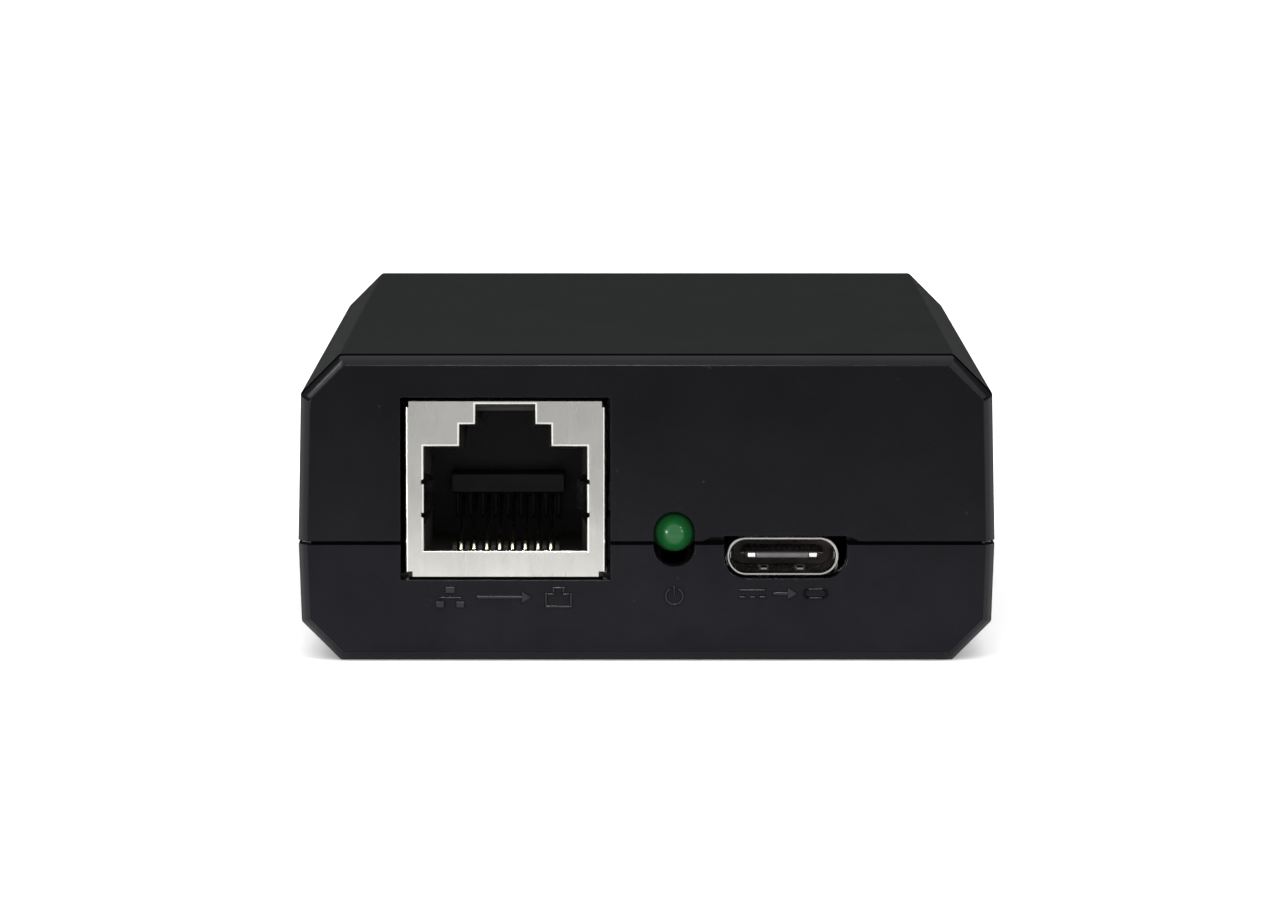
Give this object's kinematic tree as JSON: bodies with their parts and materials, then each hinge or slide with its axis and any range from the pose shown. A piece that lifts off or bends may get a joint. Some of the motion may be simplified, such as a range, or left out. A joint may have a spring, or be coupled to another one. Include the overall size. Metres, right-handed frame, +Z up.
{
  "type": "power over ethernet splitter",
  "caption": "Flat eight-sided desk adapter that takes power off a network cable: shielded jacks on both ends, status light and USB-C outlet on the front.",
  "frame": {"origin": "centre of the case footprint, on the plane it stands on", "axes": "+Z up, +X right seen from the outlet face, the outlet face looks along -Y and the inlet face along +Y"},
  "size_m": [0.0554, 0.0822, 0.0245],
  "materials": {
    "case_upper": "fine moulded texture",
    "case_lower": "fine moulded texture",
    "screw_steel": "zinc plated",
    "board_green": "solder resist",
    "jack_nickel": "nickel plated sheet",
    "jack_plastic": "moulded",
    "insert_plastic": "moulded",
    "contact_gold": "gold plated",
    "usb_steel": "satin nickel",
    "usb_plastic": "moulded",
    "usb_gold": "gold plated",
    "led_green": "tinted clear epoxy",
    "tinned_leads": "tin plated",
    "component_black": "moulded epoxy",
    "ferrite": "sintered",
    "bobbin_plastic": "moulded",
    "winding_tape": "polyester tape",
    "opto_white": "moulded",
    "capacitor_sleeve": "shrink sleeve",
    "disc_ceramic": "lacquered",
    "resistor_ceramic": "glazed",
    "chip_ceramic": "sintered"
  },
  "bodies": {
    "case": {"upper_shell": "case_upper", "lower_shell": "case_lower", "case_screws": "screw_steel", "main_board": "board_green", "data_jack_shield": "jack_nickel", "data_jack_housing": "jack_plastic", "data_jack_insert": "insert_plastic", "data_jack_pins": "contact_gold", "inlet_jack_shield": "jack_nickel", "inlet_jack_housing": "jack_plastic", "inlet_jack_insert": "insert_plastic", "inlet_jack_pins": "contact_gold", "usb_shell": "usb_steel", "usb_tongue": "usb_plastic", "usb_contacts": "usb_gold", "usb_midplate": "usb_steel", "led_lens": "led_green", "led_leads": "tinned_leads", "lan_magnetics": "component_black", "lan_magnetics_leads": "tinned_leads", "transformer_core": "ferrite", "transformer_bobbin": "bobbin_plastic", "transformer_winding": "winding_tape", "transformer_pins": "tinned_leads", "bridge_rectifiers": "component_black", "bridge_leads": "tinned_leads", "pd_controller": "component_black", "controller_leads": "tinned_leads", "switch_transistor": "component_black", "optocoupler": "opto_white", "optocoupler_leads": "tinned_leads", "output_diode": "component_black", "input_capacitor": "capacitor_sleeve", "output_capacitors": "capacitor_sleeve", "capacitor_leads": "tinned_leads", "output_inductor": "ferrite", "y_capacitor": "disc_ceramic", "surge_diode": "component_black", "usb_power_chip": "component_black", "chip_resistors": "resistor_ceramic", "chip_capacitors": "chip_ceramic"},
    "data_contacts": {"data_jack_contacts": "contact_gold"},
    "inlet_contacts": {"inlet_jack_contacts": "contact_gold"}
  },
  "joints": [
    {"name": "data_contacts_flex", "type": "hinge", "parent": "case", "child": "data_contacts", "pos_m": [-0.01119, -0.03845, 0.0087], "axis": [-1, 0, 0], "range_deg": [0, 9], "stiffness_Nm_per_rad": 0.3},
    {"name": "inlet_contacts_flex", "type": "hinge", "parent": "case", "child": "inlet_contacts", "pos_m": [-0.01119, 0.03845, 0.0087], "axis": [1, 0, 0], "range_deg": [0, 9], "stiffness_Nm_per_rad": 0.3}
  ]
}
